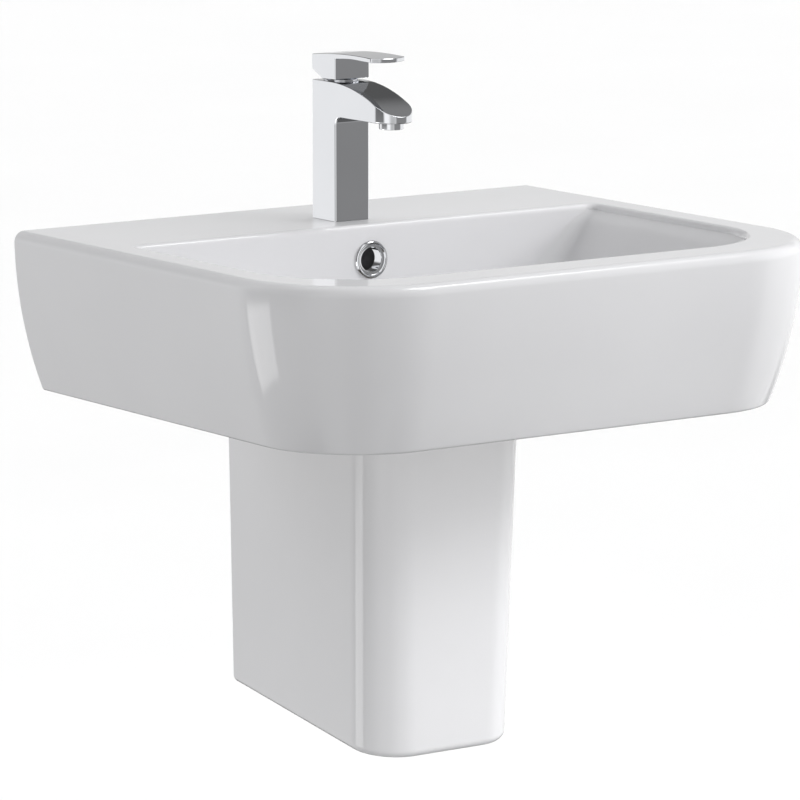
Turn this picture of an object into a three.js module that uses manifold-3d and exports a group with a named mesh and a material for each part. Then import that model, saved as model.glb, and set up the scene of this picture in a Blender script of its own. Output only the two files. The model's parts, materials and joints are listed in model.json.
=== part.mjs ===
// Wall-hung ceramic basin over a half-height pedestal, with its single-lever mixer tap, push-to-close
// waste, bottle trap, copper tails and two supply valves.
// Millimetres. +X is the user's right, +Y points into the wall, +Z is up.
// The origin lies on the basin's flat back, midway between its two wall bolts.

import * as THREE from "three";
import { mergeVertices } from "three/addons/utils/BufferGeometryUtils.js";
import Module from "manifold-3d";

const wasm = await Module();
wasm.setup();

// ---------------------------------------------------------------- driving dimensions

const GAP = 0.3; // clearance between neighbouring pieces
const ROUND = 20; // facets round a turned piece or a bore
const QUARTER = Math.PI / 2;

// The basin is set out from its rim plane: h below is a depth under the rim.
const BASIN = {
  halfWidth: 260,
  depth: 435,
  height: 132,
  rimZ: 66,
  cornerR: 110,
  flankR: 350, // the flank curves in towards the bottom on this radius
  edgeR: 9, // rounding between rim and flank
  footR: 2, // rounding of the bottom edge
  wall: 12,
  deck: 14,
  backPlate: 16,
  boltX: 140,
  boltHoleR: 7,
};

const BOWL = {
  halfWidth: 231,
  back: -124,
  front: -394,
  frontR: 87,
  backR: 8,
  depth: 100,
  edgeR: 5,
  skin: 10, // thickness of the bowl's own wall
};

const OVERFLOW = {
  h: 29,
  holeR: 12,
  channelHalf: 17,
  channelTop: 17,
  channelBack: -111.5,
  housingBack: -104,
};
const WASTE = { y: -190, holeR: 23, recessR: 34, recess: 5, bossR: 40, bossH: 130 };

const PEDESTAL = {
  topH: 113, // its walls rise inside the basin, to just under the bowl
  backHalfTop: 56,
  backHalfBottom: 51,
  frontHalfTop: 78,
  frontHalfBottom: 71,
  depthTop: 252,
  depthBottom: 242,
  bottomZ: -332,
  bottomFall: 0.085, // the bottom falls towards the front by this share of the depth
  cornerR: 37,
  edgeR: 7,
  wall: 10,
  lugX: 36,
  lugZ: -95,
};

const TAP = {
  y: -86,
  half: 16.7, // half the width of body, spout and lever
  back: -16.8,
  front: 16.7,
  top: 114.2,
  spoutUnder: 86,
  spoutTip: 72, // where the spout's round end has its centre
  topArcR: 155,
  topArcStart: 8,
  throatR: 7,
  holeR: 14, // hole in the basin's deck
  tailX: 5.6,
  tailReach: 3.5,
  tailR: 5,
  studReach: -7.5,
  studR: 4,
  screwZ: 128.4,
};

const VALVE = { x: 25, z: -245, outletReach: 28, outletTop: 22 };

// ---------------------------------------------------------------- materials

const finish = (color, roughness, metalness) =>
  new THREE.MeshStandardMaterial({ color, roughness, metalness });
const CERAMIC = finish(0xf1f1f2, 0.08, 0);
const CHROME = finish(0xd8dadd, 0.06, 1);
const BRASS = finish(0xc9a45c, 0.3, 1);
const STEEL = finish(0xb9bcc0, 0.35, 1);
const COPPER = finish(0xc77b55, 0.3, 1);
const RUBBER = finish(0x1d1e20, 0.8, 0);
const WHITE_PLASTIC = finish(0xeceded, 0.4, 0);
const GREY_PLASTIC = finish(0x9aa0a6, 0.45, 0);

// ---------------------------------------------------------------- geometry helpers

/** Merges shared corners, drops collapsed triangles and turns the faces outwards. */
function closed(geometry) {
  const bare = new THREE.BufferGeometry().setAttribute("position", geometry.getAttribute("position"));
  bare.setIndex(geometry.index);
  const merged = mergeVertices(bare, 1e-4);
  const position = merged.getAttribute("position");
  const corner = (i) => new THREE.Vector3().fromBufferAttribute(position, i);
  const triangles = [];
  let volume = 0;
  for (let i = 0; i < merged.index.count; i += 3) {
    const [a, b, c] = [0, 1, 2].map((k) => merged.index.getX(i + k));
    if (a === b || b === c || a === c) continue;
    triangles.push([a, b, c]);
    volume += corner(a).dot(corner(b).cross(corner(c)));
  }
  merged.setIndex(triangles.flatMap(([a, b, c]) => (volume < 0 ? [a, c, b] : [a, b, c])));
  return merged;
}

function solid(geometry) {
  const mesh = closed(geometry);
  return new wasm.Manifold(
    new wasm.Mesh({
      numProp: 3,
      vertProperties: mesh.getAttribute("position").array,
      triVerts: new Uint32Array(mesh.index.array),
    }),
  );
}

function geometryOf(made) {
  const { vertProperties, triVerts } = made.getMesh();
  return new THREE.BufferGeometry()
    .setAttribute("position", new THREE.BufferAttribute(vertProperties, 3))
    .setIndex(new THREE.BufferAttribute(triVerts, 1));
}

const joined = (...solids) => solids.reduce((all, next) => all.add(next));
const cut = (body, ...tools) => tools.reduce((rest, tool) => rest.subtract(tool), body);

/** A block between two values on each axis. */
function block([x0, x1], [y0, y1], [z0, z1]) {
  const made = new THREE.BoxGeometry(x1 - x0, y1 - y0, z1 - z0);
  return solid(made.translate((x0 + x1) / 2, (y0 + y1) / 2, (z0 + z1) / 2));
}

/** A solid of revolution about Z from [radius, z] points, which end on the axis or close on themselves. */
function turned(profile, segments = ROUND) {
  const points = profile.map(([r, z]) => new THREE.Vector2(r, z));
  return solid(new THREE.LatheGeometry(points, segments).rotateX(QUARTER));
}

const rod = (r, z0, z1, segments = ROUND) => turned([[0, z0], [r, z0], [r, z1], [0, z1]], segments);

/** A turned piece with a bore: the outside from bottom to top, then the bore from top to bottom. */
const sleeve = (outside, bore, segments) => turned([...outside, ...bore, outside[0]], segments);

/** A plain ring of one height. */
const ring = (outer, inner, z0, z1, segments) =>
  sleeve([[outer, z0], [outer, z1]], [[inner, z1], [inner, z0]], segments);

/** A hexagonal nut with a plain bore. */
function hexNut(acrossFlats, bore, z0, z1) {
  const outside = rod(acrossFlats / Math.sqrt(3), z0, z1, 6);
  return cut(outside, rod(bore, z0 - 1, z1 + 1));
}

/** A rod that runs out of the wall's frame along Y, at x and z, from y0 to y1. */
const rodAlongY = (r, x, z, y0, y1, segments = ROUND) =>
  rod(r, -y1, -y0, segments).rotate([90, 0, 0]).translate([x, 0, z]);

/** Points on an arc about [cx, cy], both ends included. */
function arc(cx, cy, r, from, to, steps) {
  return Array.from({ length: steps + 1 }, (_, i) => {
    const angle = from + ((to - from) * i) / steps;
    return [cx + r * Math.cos(angle), cy + r * Math.sin(angle)];
  });
}

/**
 * A plan outline, symmetric about x = 0: a straight back, two sides that may spread towards the front,
 * and rounded corners. The sides run tangent to the front corners.
 */
function plan({ backHalf, frontHalf = backHalf, back, front, backR = 0, frontR, backSteps = 0, frontSteps }) {
  const [cx, cy] = [frontR - frontHalf, front + frontR];
  const away = Math.hypot(cx + backHalf, cy - back);
  const lean = Math.asin(frontR / away) - Math.atan2(cx + backHalf, back - cy);
  const side = Math.PI - lean;
  const backCorner = backR
    ? arc(backR - backHalf, back - backR, backR, QUARTER, Math.PI, backSteps)
    : [[-backHalf, back]];
  const left = [...backCorner, ...arc(cx, cy, frontR, side, 3 * QUARTER, frontSteps)];
  const right = left.map(([x, y]) => [-x, y]).reverse();
  return [...left, ...right];
}

const level = (outline, z) => outline.map(([x, y]) => new THREE.Vector3(x, y, z));

/** A closed solid through rings of equally many points, from the lowest to the highest. */
function loft(rings) {
  const count = rings[0].length;
  const positions = rings.flat().flatMap((p) => [p.x, p.y, p.z]);
  const index = [];
  for (let k = 0; k < rings.length - 1; k++) {
    for (let i = 0; i < count; i++) {
      const [a, b] = [k * count + i, k * count + ((i + 1) % count)];
      index.push(a, b, b + count, a, b + count, a + count);
    }
  }
  const flat = (ring) => {
    const outline = ring.map((p) => new THREE.Vector2(p.x, p.y));
    return THREE.ShapeUtils.triangulateShape(outline, []);
  };
  const top = (rings.length - 1) * count;
  flat(rings[0]).forEach(([a, b, c]) => index.push(c, b, a));
  flat(rings.at(-1)).forEach((face) => index.push(...face.map((i) => i + top)));
  const made = new THREE.BufferGeometry();
  made.setAttribute("position", new THREE.Float32BufferAttribute(positions, 3));
  return solid(made.setIndex(index));
}

/** A side outline of [reach, z] points, reach being forward from the tap's axis, made half wide each way. */
function slab(outline, half) {
  const shape = new THREE.Shape(outline.map(([reach, z]) => new THREE.Vector2(reach, z)));
  const made = new THREE.ExtrudeGeometry(shape, { depth: 2 * half, bevelEnabled: false });
  made.applyMatrix4(new THREE.Matrix4().set(0, 0, 1, -half, -1, 0, 0, 0, 0, 1, 0, 0, 0, 0, 0, 1));
  return solid(made);
}

function piece(name, made, material) {
  const mesh = new THREE.Mesh(geometryOf(made), material);
  mesh.name = name;
  mesh.geometry.computeVertexNormals();
  return mesh;
}

function grouped(position, ...children) {
  const group = new THREE.Group();
  group.position.set(...position);
  return group.add(...children);
}

/** A group whose Z runs out of the wall towards the user, and whose Y is up. */
function onWall(x, z, ...children) {
  const group = grouped([x, 0, z], ...children);
  group.rotation.x = QUARTER;
  return group;
}

// ---------------------------------------------------------------- basin

const flankInset = (h) => BASIN.flankR - Math.sqrt(BASIN.flankR ** 2 - h ** 2);

/** The basin's outer outline at depth h, brought in by a further inset on the sides and front. */
function basinOutline(h, inset, back = 0) {
  const all = flankInset(h) + inset;
  return plan({
    backHalf: BASIN.halfWidth - all,
    back,
    front: all - BASIN.depth,
    frontR: BASIN.cornerR - all,
    frontSteps: 10,
  });
}

function basinOutside() {
  const { edgeR, footR, height } = BASIN;
  const rounded = [0, 22.5, 45, 67.5, 90].map(THREE.MathUtils.degToRad).map((angle) => {
    const h = edgeR * (1 - Math.cos(angle));
    return [h, edgeR * (1 - Math.sin(angle))];
  });
  const flank = [30, 55, 80, 105, height - footR].map((h) => [h, 0]);
  const foot = [[height, footR]];
  const steps = [...rounded, ...flank, ...foot].reverse();
  return loft(steps.map(([h, inset]) => level(basinOutline(h, inset), -h)));
}

/**
 * The bowl's section at depth h: the sides slope in at about 45 degrees, the back stays steep, and all
 * of them turn into the floor. A skin thickness moves the whole section outwards.
 */
function bowlOutline(h, skin = 0) {
  const share = Math.min(1, h / BOWL.depth);
  const turnIn = (1 - Math.sqrt(1 - share ** 8)) * 0.9;
  const side = BOWL.halfWidth - BOWL.edgeR - 0.93 * h - 38 * turnIn;
  return plan({
    backHalf: side + skin,
    back: BOWL.back - BOWL.edgeR - 18 * turnIn + skin,
    front: BOWL.front + BOWL.edgeR + 0.42 * h + 34 * turnIn - skin,
    backR: BOWL.backR + 24 * share + skin * 0.5,
    frontR: BOWL.frontR - 22 * share + skin,
    backSteps: 3,
    frontSteps: 8,
  });
}

function bowlInside() {
  const mouth = bowlOutline(0, BOWL.edgeR);
  const eased = bowlOutline(0, BOWL.edgeR * 0.3);
  const walls = [BOWL.edgeR, 25, 50, 72, 86, 95, BOWL.depth];
  return loft([
    ...walls.reverse().map((h) => level(bowlOutline(h), -h)),
    level(eased, -BOWL.edgeR * 0.3),
    level(mouth, 0),
    level(mouth, 1),
  ]);
}

function bowlOutside() {
  const depths = [BOWL.depth + BOWL.skin, 100, 90, 60, 30, BASIN.deck - 2];
  return loft(depths.map((h) => level(bowlOutline(h - BOWL.skin * (h / BOWL.depth), BOWL.skin), -h)));
}

/** The hollow under the basin, open at the bottom, less the bowl and the overflow's housing in it. */
function basinUnderside() {
  const depths = [BASIN.height + 1, 100, 60, BASIN.deck];
  const hollow = loft(depths.map((h) => level(basinOutline(h, BASIN.wall, -BASIN.backPlate), -h)));
  const { housingBack, channelHalf } = OVERFLOW;
  const housingHalf = channelHalf + 8;
  const housing = joined(
    block([-housingHalf, housingHalf], [BOWL.back - 12, housingBack], [-127, -BASIN.deck + 2]),
    block([-housingHalf, housingHalf], [WASTE.y, housingBack], [-127, -BOWL.depth]),
  );
  const boss = rod(WASTE.bossR, -WASTE.bossH, -BOWL.depth).translate([0, WASTE.y, 0]);
  return cut(hollow, bowlOutside(), housing, boss);
}

/** The overflow's way: a hole in the bowl's back, down behind it, and forward into the waste's hole. */
function overflowChannel() {
  const { h, holeR, channelHalf, channelTop, channelBack } = OVERFLOW;
  const [low, high] = [-119, -112];
  return joined(
    rodAlongY(holeR, 0, -h, BOWL.back - 12, channelBack - 3),
    block([-channelHalf, channelHalf], [BOWL.back - BOWL.edgeR + BOWL.skin, channelBack], [low, -channelTop]),
    block([-channelHalf, channelHalf], [WASTE.y, channelBack], [low, high]),
  );
}

function basin() {
  const { boltX, boltHoleR, backPlate, rimZ } = BASIN;
  const wallHoles = [-boltX, boltX].map((x) => rodAlongY(boltHoleR, x, -rimZ, -backPlate - 1, 1));
  const wasteHole = joined(
    rod(WASTE.holeR, -WASTE.bossH - 1, -BOWL.depth + 1),
    rod(WASTE.recessR, -BOWL.depth - WASTE.recess, -BOWL.depth + 1),
  ).translate([0, WASTE.y, 0]);
  const tapHole = rod(TAP.holeR, -BASIN.deck - 1, 1).translate([0, TAP.y, 0]);
  return cut(
    basinOutside(),
    bowlInside(),
    basinUnderside(),
    overflowChannel(),
    wasteHole,
    tapHole,
    ...wallHoles,
  );
}

/** A flanged ring pressed into the overflow's hole, its axis along Z. */
function overflowRing() {
  const { holeR } = OVERFLOW;
  const [flangeR, boreR, stem] = [15.4, 10, 9];
  return sleeve(
    [[holeR - GAP, -stem], [holeR - GAP, GAP], [flangeR, GAP], [flangeR, 1.6], [flangeR - 1.6, 2.6]],
    [[boreR + 1, 2.6], [boreR, 1.4], [boreR, -stem]],
  );
}

/** Stud, bush, washer and nut that hold the basin to the wall, named for their side. */
function basinFixing(side, x) {
  const plate = BASIN.backPlate;
  const studR = 5;
  const bore = studR + GAP;
  const bush = sleeve(
    [[BASIN.boltHoleR - GAP, 2], [BASIN.boltHoleR - GAP, plate + GAP], [14, plate + GAP], [14, plate + 2.3]],
    [[bore, plate + 2.3], [bore, 2]],
  );
  return onWall(
    x,
    0,
    piece(`basin_stud_${side}`, rod(studR, 0.5, 62, 12), STEEL),
    piece(`basin_bush_${side}`, bush, WHITE_PLASTIC),
    piece(`basin_washer_${side}`, ring(12, bore, plate + 2.6, plate + 4.6), STEEL),
    piece(`basin_nut_${side}`, hexNut(17, bore, plate + 4.9, plate + 13), STEEL),
  );
}

// ---------------------------------------------------------------- pedestal

const PEDESTAL_TOP_Z = BASIN.rimZ - PEDESTAL.topH;

/** Where a height lies between the pedestal's bottom, 0, and its top, 1. */
const pedestalShare = (z) => (z - PEDESTAL.bottomZ) / (PEDESTAL_TOP_Z - PEDESTAL.bottomZ);

function pedestalRing(z, inset, back, fall) {
  const between = (bottom, top) => bottom + (top - bottom) * pedestalShare(z);
  const outline = plan({
    backHalf: between(PEDESTAL.backHalfBottom, PEDESTAL.backHalfTop) - inset,
    frontHalf: between(PEDESTAL.frontHalfBottom, PEDESTAL.frontHalfTop) - inset,
    back,
    front: inset - between(PEDESTAL.depthBottom, PEDESTAL.depthTop),
    frontR: PEDESTAL.cornerR - inset,
    frontSteps: 8,
  });
  return outline.map(([x, y]) => new THREE.Vector3(x, y, z + fall * y));
}

function semiPedestal() {
  const { bottomZ, bottomFall, edgeR, wall, lugX, lugZ } = PEDESTAL;
  const under = [
    [0, edgeR],
    [edgeR * 0.3, edgeR * 0.3],
    [edgeR, 0],
  ].map(([up, inset]) => pedestalRing(bottomZ + up, inset, 0, bottomFall));
  const outside = loft([
    ...under,
    pedestalRing(bottomZ + 60, 0, 0, bottomFall * 0.75),
    pedestalRing(PEDESTAL_TOP_Z, 0, 0, 0),
  ]);
  const inside = loft([
    pedestalRing(bottomZ + wall, wall, 1, bottomFall),
    pedestalRing(bottomZ + 60, wall, 1, bottomFall * 0.75),
    pedestalRing(PEDESTAL_TOP_Z, wall, 1, 0),
    pedestalRing(PEDESTAL_TOP_Z + 1, wall, 1, 0),
  ]);
  const basinFoot = BASIN.rimZ - BASIN.height;
  const underBackPlate = block([-90, 90], [-BASIN.backPlate - 1, 1], [basinFoot - GAP, PEDESTAL_TOP_Z + 1]);
  const lugs = [-1, 1].map((side) => {
    const x = [side * (lugX - 10), side * (PEDESTAL.backHalfBottom - 4)].sort((a, b) => a - b);
    const hole = rodAlongY(4.6, side * lugX, lugZ, -20, 1);
    return cut(block(x, [-14, 0], [lugZ - 13, lugZ + 13]), hole);
  });
  return joined(cut(outside, inside, underBackPlate), ...lugs);
}

function pedestalFixing(side, x) {
  const [face, studR] = [14, 4];
  const bore = studR + GAP;
  return onWall(
    x,
    PEDESTAL.lugZ,
    piece(`pedestal_stud_${side}`, rod(studR, 0.5, 40, 12), STEEL),
    piece(`pedestal_washer_${side}`, ring(8, bore, face + GAP, face + 1.9, 16), STEEL),
    piece(`pedestal_nut_${side}`, hexNut(13, bore, face + 2.2, face + 8.7), STEEL),
  );
}

// ---------------------------------------------------------------- tap

const topOfSpout = (reach) => {
  const past = Math.max(0, reach - TAP.topArcStart);
  return TAP.top - TAP.topArcR + Math.sqrt(TAP.topArcR ** 2 - past ** 2);
};

/** The tap's plan behind a front edge that runs from left to right, with straight sides. */
function footprint(frontEdge) {
  const { half, top } = TAP;
  const outline = [...frontEdge, [half, 20], [-half, 20]].map(([x, y]) => new THREE.Vector2(x, y));
  return solid(new THREE.ExtrudeGeometry(new THREE.Shape(outline), { depth: top + 30, bevelEnabled: false }));
}

/** Body and spout in one: the side outline, cut to the plan with its round end, then bored. */
function tapBody() {
  const { half, back, front, top, spoutUnder, spoutTip, throatR } = TAP;
  const { tailX, tailReach, tailR, studReach, studR } = TAP;
  const tip = spoutTip + half;
  const crown = Array.from({ length: 9 }, (_, i) => tip + ((TAP.topArcStart - tip) * i) / 8);
  const outline = [
    [back, GAP],
    [front, GAP],
    ...arc(front + throatR, spoutUnder - throatR, throatR, Math.PI, QUARTER, 4),
    [tip, spoutUnder],
    ...crown.map((reach) => [reach, topOfSpout(reach)]),
    [back, top],
  ];
  const frontEdge = arc(0, -spoutTip, half, Math.PI, 2 * Math.PI, 12);
  const outside = slab(outline, half + 1).intersect(footprint(frontEdge));
  const inlets = [-tailX, tailX].flatMap((x) => [
    rod(3.6, 10, 78, 10).translate([x, -tailReach, 0]),
    rod(tailR + 0.5, 0, 14).translate([x, -tailReach, 0]),
  ]);
  const waterway = rodAlongY(3, 0, 91.5, -spoutTip, -10, 10);
  return cut(
    outside,
    rod(14, 101, top + 1),
    rod(12.8, 74, top),
    ring(16, 12.2, 0, 1.9),
    rod(studR + GAP, 0, 14).translate([0, -studReach, 0]),
    rod(9, spoutUnder - 1, 94).translate([0, -spoutTip, 0]),
    waterway,
    ...inlets,
  );
}

/** The lever: a block over the cartridge, its back lower corner cut away, drawn out into a thin bowed blade. */
function tapLever() {
  const { half } = TAP;
  const [back, front, tip] = [-17.3, 16.5, 72.7];
  const bow = 6;
  const bowR = (half ** 2 + bow ** 2) / (2 * bow);
  const spread = Math.asin(half / bowR);
  const frontEdge = arc(0, bowR - tip, bowR, -QUARTER - spread, spread - QUARTER, 8);
  const crownR = 512;
  const crownReach = 42;
  const top = (reach) => 138.4 - (reach - crownReach) ** 2 / (2 * crownR);
  const reaches = [tip, 64, 54, crownReach, 28, 12, -4, back];
  const outline = [
    [back, 123.1],
    [-2.3, 115.8],
    [front, 116.4],
    [front, 133.4],
    [45, 134.9],
    [tip, 134.1],
    ...reaches.map((reach) => [reach, top(reach)]),
  ];
  const grub = (r, from, to) => rodAlongY(r, 0, TAP.screwZ, -from, -to);
  return cut(
    slab(outline, half + 1).intersect(footprint(frontEdge)),
    rod(15.2, 114, 121.5),
    block([-4.1, 4.1], [-3.1, 3.1], [120, 130.3]),
    grub(2.8, -1, -18),
    grub(4.2, -15.4, -18),
  );
}

function cartridgeBody() {
  return turned([[0, 74 + GAP], [12.5, 74 + GAP], [12.5, 100], [11.5, 100], [11.5, 104], [0, 104]]);
}

/** The clamp under the deck: a disc open at the front for the tails, with a hole for the stud. */
function horseshoe(z0, z1) {
  return cut(
    rod(16.8, z0, z1),
    block([-11.5, 11.5], [-20, 2], [z0 - 1, z1 + 1]),
    rod(TAP.studR + GAP, z0 - 1, z1 + 1).translate([0, -TAP.studReach, 0]),
  );
}

function tapUnderDeck() {
  const under = -BASIN.deck - GAP;
  const stud = grouped(
    [0, -TAP.studReach, 0],
    piece("tap_stud", rod(TAP.studR, under - 32, 13.6, 12), BRASS),
    piece("tap_fixing_nut", hexNut(13, TAP.studR + GAP, under - 15.5, under - 5.5), BRASS),
  );
  return [
    stud,
    piece("tap_rubber_washer", horseshoe(under - 2.5, under), RUBBER),
    piece("tap_clamp_plate", horseshoe(under - 5, under - 2.8), STEEL),
  ];
}

function aerator() {
  const [low, face, high] = [80.5, TAP.spoutUnder - GAP, 93];
  const housing = sleeve(
    [[9.4, low], [10, low + 0.6], [10, face], [8.6, face], [8.6, high]],
    [[7.4, high], [7.4, low]],
  );
  return grouped(
    [0, -TAP.spoutTip, 0],
    piece("aerator_housing", housing, CHROME),
    piece("aerator_insert", rod(7.1, low + 1, low + 5), WHITE_PLASTIC),
  );
}

/** A copper tail, bent from the tap's inlet outwards and back to its valve at the wall. */
function tail(side) {
  const route = [
    [TAP.tailX, TAP.y - TAP.tailReach, BASIN.rimZ + 13],
    [TAP.tailX, TAP.y - TAP.tailReach, 20],
    [8, TAP.y - 3, -15],
    [14, -68, -65],
    [20.5, -47, -115],
    [24.5, -33, -155],
    [VALVE.x, -VALVE.outletReach, -190],
    [VALVE.x, -VALVE.outletReach, VALVE.z + VALVE.outletTop + 2],
  ];
  const path = new THREE.CatmullRomCurve3(route.map(([x, y, z]) => new THREE.Vector3(side * x, y, z)));
  const section = new THREE.Shape().absarc(0, 0, TAP.tailR, 0, 2 * Math.PI);
  return solid(new THREE.ExtrudeGeometry(section, { extrudePath: path, steps: 26, curveSegments: 6 }));
}

function tap() {
  const stemTop = TAP.screwZ + 1.6;
  const nut = ring(13.7, 11.9, 101 + GAP, 111.9);
  const collar = sleeve(
    [[13.7, 112.2], [13.7, 114.5], [14.3, 114.5], [14.3, 115.2], [12.6, 116.6], [8.6, 117.4]],
    [[8.6, 116.4], [11.9, 115.4], [11.9, 112.2]],
  );
  return grouped(
    [0, TAP.y, BASIN.rimZ],
    piece("tap_body", tapBody(), CHROME),
    piece("tap_base_seal", ring(15.7, 12.5, GAP, 1.6), RUBBER),
    piece("cartridge_body", cartridgeBody(), WHITE_PLASTIC),
    piece("cartridge_nut", nut, BRASS),
    piece("cartridge_carrier", ring(10.8, 7.6, 104.3, 110.5), GREY_PLASTIC),
    piece("cartridge_stem", block([-3.8, 3.8], [-2.8, 2.8], [106, stemTop]), BRASS),
    piece("tap_collar", collar, CHROME),
    piece("tap_lever", tapLever(), CHROME),
    piece("lever_screw", rodAlongY(2.5, 0, TAP.screwZ, 3.2, 15.1), STEEL),
    piece("lever_screw_cap", rodAlongY(3.9, 0, TAP.screwZ, 15.7, 17.2), GREY_PLASTIC),
    aerator(),
    ...tapUnderDeck(),
  );
}

// ---------------------------------------------------------------- waste and trap

/** The waste's tube and flange, with slots that let the overflow in and a bridge for the plug's mechanism. */
function wasteBody() {
  const [tubeR, boreR, foot] = [20.5, 18, -74];
  const tube = sleeve(
    [[boreR, foot], [tubeR, foot], [tubeR, -3], [32, -3], [32, -1], [31, 0], [29, 0]],
    [[27.5, -1.4], [boreR, -1.4]],
  );
  const slots = [
    block([-25, 25], [-6, 6], [-19, -12]),
    block([-6, 6], [-25, 25], [-19, -12]),
  ];
  const bridge = cut(
    joined(block([-19, 19], [-3, 3], [-32, -26]), rod(9.5, -32, -26)),
    rod(7 + GAP, -33, -25),
  );
  return joined(cut(tube, ...slots), bridge);
}

function waste() {
  const seat = -WASTE.bossH + BOWL.depth;
  const mechanism = turned([[0, -46], [7, -46], [7, -12], [3.4, -12], [3.4, -40], [0, -40]]);
  const cap = turned([[0, -22], [3, -22], [3, 7.6], [29, 7.6], [30, 8.6], [29, 10.4], [18, 12], [0, 12.6]]);
  return grouped(
    [0, WASTE.y, BASIN.rimZ - BOWL.depth],
    piece("waste_body", wasteBody(), CHROME),
    piece("waste_mechanism", mechanism, BRASS),
    piece("waste_plug", cap, CHROME),
    piece("waste_plug_seal", ring(26, 22, 6, 7.6 - GAP), RUBBER),
    piece("waste_top_seal", ring(31, 24, -4.7, -3.3), RUBBER),
    piece("waste_bottom_seal", ring(31, 20.8, seat - 3.3, seat - GAP), RUBBER),
    piece("waste_back_nut", cut(rod(31, seat - 12, seat - 3.6, 8), rod(20.8, seat - 13, seat)), BRASS),
  );
}

const TRAP_OUTLET_Z = -116;

/** The trap's head, with its inlet neck on top and its outlet branch towards the wall. */
function trapBody() {
  const shell = turned([[0, -140], [31, -140], [31, -104], [19, -97], [19, -86], [0, -86]]);
  const hollow = turned([[0, -141], [28, -141], [28, -106], [15.4, -99], [15.4, -85], [0, -85]]);
  const branch = rodAlongY(19, 0, TRAP_OUTLET_Z, 20, 49);
  const way = rodAlongY(16.4, 0, TRAP_OUTLET_Z, 19, 50);
  return cut(joined(shell, cut(branch, hollow)), hollow, way);
}

function trapCup() {
  const rim = [[34, -157], [34, -143], [28, -143]];
  return turned([[0, -190], [22, -190], [31, -181], [31, -157], ...rim, [28, -180], [21, -187], [0, -187]]);
}

/** A twelve-sided nut: threaded from its high end down to a shoulder, with a way for the pipe through it. */
function trapNut(outer, thread, pipe, low, shoulder, high) {
  const threadWay = rod(thread + GAP, shoulder, high + 1);
  return cut(rod(outer, low, high, 12), threadWay, rod(pipe + GAP, low - 1, high));
}

function trap() {
  const inletNut = trapNut(25, 20.5, 15, -84, -78.8, -62);
  const dipTube = sleeve(
    [[15, -155], [15, -78.5], [19.8, -78.5], [19.8, -76]],
    [[13, -76], [13, -155]],
  );
  const outletNut = trapNut(24, 19, 16, -58, -52, -40).rotate([180, 0, 0]);
  const towardsWall = grouped(
    [0, 0, TRAP_OUTLET_Z],
    piece("trap_outlet_nut", outletNut, CHROME),
    piece("trap_outlet_seal", ring(18.8, 16.4, 49.3, 51.7), RUBBER),
    piece("trap_outlet_pipe", ring(16, 14, 50, -WASTE.y - 0.5), CHROME),
    piece("trap_wall_plate", sleeve(
      [[28, -WASTE.y - 6], [33, -WASTE.y - 2.5], [33, -WASTE.y - 0.5]],
      [[16.4, -WASTE.y - 0.5], [16.4, -WASTE.y - 6]],
    ), CHROME),
  );
  towardsWall.rotation.x = -QUARTER;
  return grouped(
    [0, WASTE.y, BASIN.rimZ - BOWL.depth],
    piece("trap_inlet_nut", inletNut, CHROME),
    piece("trap_inlet_seal", ring(20, 15.5, -75.7, -74.3), RUBBER),
    piece("trap_dip_tube", dipTube, CHROME),
    piece("trap_body", trapBody(), CHROME),
    piece("trap_cup_seal", ring(30.6, 28.3, -142.7, -140.3), RUBBER),
    piece("trap_cup", trapCup(), CHROME),
    towardsWall,
  );
}

// ---------------------------------------------------------------- supply valves

/** An angle valve out of the wall: rosette, body with its outlet upwards, nut on the outlet, and handle. */
function valve(side, x) {
  const { outletReach, outletTop } = VALVE;
  const upright = (made) => made.rotate([-90, 0, 0]).translate([0, 0, outletReach]);
  const body = joined(
    rod(8.5, 0.5, 41),
    upright(rod(7.5, 0, outletTop)),
    rod(3.4, 40, 44, 12),
  );
  const bored = cut(body, rod(5, 0, outletReach), upright(rod(4.4, 0, outletTop + 1)));
  const nut = cut(
    rod(19 / Math.sqrt(3), outletTop - 8, outletTop + 8, 6),
    rod(7.5 + GAP, outletTop - 9, outletTop + GAP),
    rod(TAP.tailR + 0.5, outletTop, outletTop + 9),
  );
  const handle = cut(
    joined(rod(8, 41 + GAP, 52), block([-4, 4], [-15, 15], [45, 52])),
    rod(3.4 + GAP, 41, 44 + GAP, 12),
  );
  return onWall(
    x,
    VALVE.z,
    piece(`valve_rosette_${side}`, sleeve(
      [[15, 0.5], [15, 2], [12, 4]],
      [[8.5 + GAP, 4], [8.5 + GAP, 0.5]],
    ), CHROME),
    piece(`valve_body_${side}`, bored, CHROME),
    piece(`valve_nut_${side}`, upright(nut), CHROME),
    piece(`valve_handle_${side}`, handle, CHROME),
  );
}

// ---------------------------------------------------------------- assembly

const overflowTrim = onWall(0, BASIN.rimZ - OVERFLOW.h, piece("overflow_ring", overflowRing(), CHROME));
overflowTrim.position.y = BOWL.back - BOWL.edgeR;

const sink = new THREE.Group();
sink.add(
  grouped([0, 0, BASIN.rimZ], piece("basin", basin(), CERAMIC)),
  piece("semi_pedestal", semiPedestal(), CERAMIC),
  overflowTrim,
  tap(),
  waste(),
  trap(),
);
for (const [side, sign] of [["left", -1], ["right", 1]]) {
  sink.add(
    basinFixing(side, sign * BASIN.boltX),
    pedestalFixing(side, sign * PEDESTAL.lugX),
    piece(`tail_${side}`, tail(sign), COPPER),
    valve(side, sign * VALVE.x),
  );
}

export default sink;
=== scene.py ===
"""A white wall-hung basin over a semi-pedestal, with a chrome mixer, waste, trap and supply valves."""

import json
import math

import bmesh
import bpy
from mathutils import Matrix, Vector


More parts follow.
